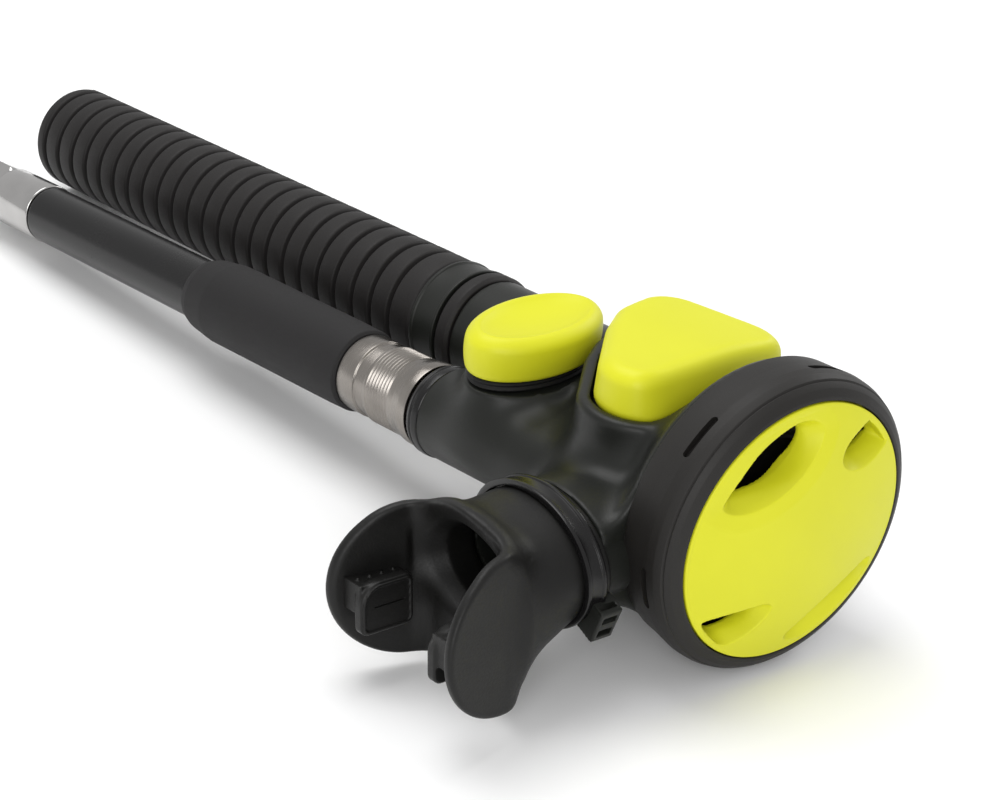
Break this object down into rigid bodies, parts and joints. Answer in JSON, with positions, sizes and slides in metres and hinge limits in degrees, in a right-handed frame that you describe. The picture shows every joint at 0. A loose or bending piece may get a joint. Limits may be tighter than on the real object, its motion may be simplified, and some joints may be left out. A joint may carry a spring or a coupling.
{
  "type": "scuba alternate regulator with power inflator",
  "caption": "Second-stage breathing regulator built into a buoyancy inflator, with a purge cover, two press buttons, a mouthpiece, a ribbed hose and a low-pressure hose on a quick coupling.",
  "frame": {"origin": "on the surface that the set rests on, under the middle of the box round the case, its valves and the quick coupling, without the free hoses", "axes": "+X out through the purge cover, -X along the hoses, -Y out through the mouthpiece, +Z out through the two press buttons"},
  "size_m": [0.298, 0.113, 0.066],
  "materials": {
    "black_plastic": "satin moulded glass-filled nylon",
    "yellow_plastic": "satin lemon-yellow soft-touch plastic",
    "black_silicone": "satin moulded silicone",
    "clear_silicone": "milky silicone",
    "black_rubber": "matte rubber",
    "corrugated_rubber": "matte brownish-black moulded rubber",
    "hose_rubber": "smooth glossy rubber hose cover",
    "stainless": "turned stainless steel",
    "polished_steel": "bright plated steel",
    "brass": "machined brass"
  },
  "bodies": {
    "case": {"body_shell": "black_plastic", "cover_ring": "black_plastic", "diaphragm": "clear_silicone", "exhaust_valve": "clear_silicone", "exhaust_cover": "black_plastic", "mouthpiece": "black_silicone", "mouthpiece_tie": "black_plastic", "inflate_boot": "black_rubber", "inflate_spring": "stainless", "inflate_sleeve": "brass", "inflate_stem_oring": "black_rubber", "deflate_spring": "stainless", "deflate_guide": "black_plastic", "corrugated_hose": "corrugated_rubber", "hose_tie": "black_plastic", "valve_barrel": "brass", "valve_orifice": "stainless", "orifice_oring": "black_rubber", "poppet_spring": "stainless", "qd_nipple": "stainless", "nipple_oring": "black_rubber"},
    "purge": {"purge_cover": "yellow_plastic"},
    "plate": {"diaphragm_plate": "stainless"},
    "lever": {"demand_lever": "stainless"},
    "poppet": {"poppet": "stainless", "poppet_seat": "black_rubber", "lever_nut": "stainless"},
    "inflate": {"inflate_button": "yellow_plastic", "inflate_stem": "stainless", "inflate_seat": "black_rubber"},
    "deflate": {"deflate_button": "yellow_plastic", "deflate_stem": "stainless", "deflate_disc": "clear_silicone"},
    "coupler": {"qd_coupler": "stainless", "locking_ball_1": "stainless", "locking_ball_2": "stainless", "locking_ball_3": "stainless", "locking_ball_4": "stainless", "check_spring": "stainless", "collar_spring": "stainless", "hose_ferrule_near": "polished_steel", "hose_protector": "black_rubber", "lp_hose": "hose_rubber", "hose_ferrule_far": "polished_steel", "lp_fitting": "polished_steel", "fitting_oring": "black_rubber"},
    "collar": {"qd_collar": "stainless"},
    "check": {"check_pin": "brass"}
  },
  "joints": [
    {"name": "purge_press", "type": "slide", "parent": "case", "child": "purge", "axis": [-1, 0, 0], "range_m": [0, 0.0025], "stiffness_N_per_m": 1500, "springref_m": -0.002},
    {"name": "plate_press", "type": "slide", "parent": "case", "child": "plate", "axis": [-1, 0, 0], "range_m": [0, 0.0025], "deforming": ["diaphragm"]},
    {"name": "lever_swing", "type": "hinge", "parent": "case", "child": "lever", "pos_m": [0.05997, 0.01229, 0.02922], "axis": [-0.0747, -0.0061, 0.9972], "range_deg": [0, 11.42]},
    {"name": "poppet_lift", "type": "slide", "parent": "case", "child": "poppet", "axis": [0.9938, 0.0817, 0.075], "range_m": [0, 0.00107], "deforming": ["poppet_spring"]},
    {"name": "inflate_press", "type": "slide", "parent": "case", "child": "inflate", "axis": [0, 0, -1], "range_m": [0, 0.0025], "stiffness_N_per_m": 2000, "springref_m": -0.002, "deforming": ["inflate_spring", "inflate_boot"]},
    {"name": "deflate_press", "type": "slide", "parent": "case", "child": "deflate", "axis": [0, 0, -1], "range_m": [0, 0.003], "stiffness_N_per_m": 1200, "springref_m": -0.003, "deforming": ["deflate_spring"]},
    {"name": "hose_swivel", "type": "hinge", "parent": "case", "child": "coupler", "pos_m": [-0.01741, 0.00052, 0.02335], "axis": [0.9938, 0.0817, 0.075], "continuous": true},
    {"name": "collar_draw", "type": "slide", "parent": "coupler", "child": "collar", "axis": [-0.9938, -0.0817, -0.075], "range_m": [0, 0.0035], "stiffness_N_per_m": 1500, "springref_m": -0.002, "deforming": ["collar_spring"]},
    {"name": "check_press", "type": "slide", "parent": "coupler", "child": "check", "axis": [-0.9938, -0.0817, -0.075], "range_m": [0, 0.0012], "stiffness_N_per_m": 600, "springref_m": -0.002, "deforming": ["check_spring"]}
  ],
  "couplings": [
    {"joint": "plate_press", "follows": "purge_press", "ratio": 1},
    {"joint": "lever_swing", "follows": "purge_press", "rad_per_m": 79.587},
    {"joint": "poppet_lift", "follows": "purge_press", "ratio": 0.42694}
  ]
}
